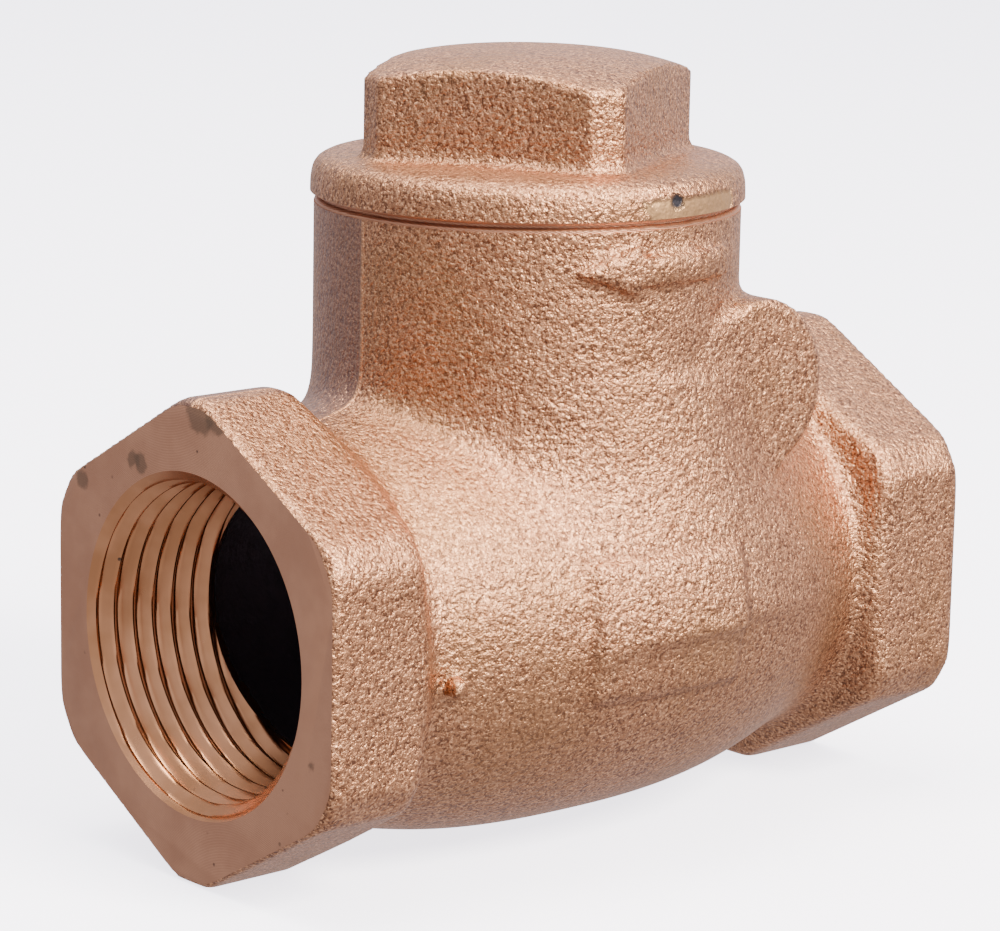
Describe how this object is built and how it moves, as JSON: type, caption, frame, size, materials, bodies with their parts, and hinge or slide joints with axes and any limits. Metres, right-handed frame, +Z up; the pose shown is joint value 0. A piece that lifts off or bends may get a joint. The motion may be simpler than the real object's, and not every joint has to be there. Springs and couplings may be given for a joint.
{
  "type": "check valve",
  "caption": "Bronze swing check valve with hexagonal threaded ends, a round body, a screw-in cap with a square head, and a hinged disc inside.",
  "frame": {"origin": "on the surface the valve stands on, directly under the point where the cap axis meets the flow axis", "axes": "+Z up along the cap axis; X along the flow axis, inlet at +X and outlet at -X; -Y is the side with the blank hinge boss and the arrow"},
  "size_m": [0.0668, 0.0429, 0.0623],
  "materials": {
    "body_bronze": "sand cast and blasted, with machined end faces, threads and cap rim",
    "cap_bronze": "sand cast and blasted, with a machined underside and thread",
    "hanger_bronze": "cast",
    "turned_brass": "turned",
    "pin_steel": "ground stainless steel",
    "ptfe": "plain white fluoropolymer"
  },
  "bodies": {
    "casing": {"valve_body": "body_bronze", "cap": "cap_bronze", "hinge_pin": "pin_steel", "hinge_pin_plug": "turned_brass"},
    "hanger": {"disc_hanger": "hanger_bronze"},
    "disc": {"disc_holder": "turned_brass", "seat_disc": "ptfe", "seat_disc_washer": "turned_brass", "seat_disc_nut": "turned_brass", "hanger_washer": "turned_brass", "hanger_nut": "turned_brass"}
  },
  "joints": [
    {"name": "hanger_swing", "type": "hinge", "parent": "casing", "child": "hanger", "pos_m": [0.0105, 0, 0.0364], "axis": [0, 1, 0], "range_deg": [0, 65]},
    {"name": "disc_spin", "type": "hinge", "parent": "hanger", "child": "disc", "pos_m": [0.01303, 0, 0.0188], "axis": [0.9659, 0, -0.2588], "continuous": true}
  ]
}
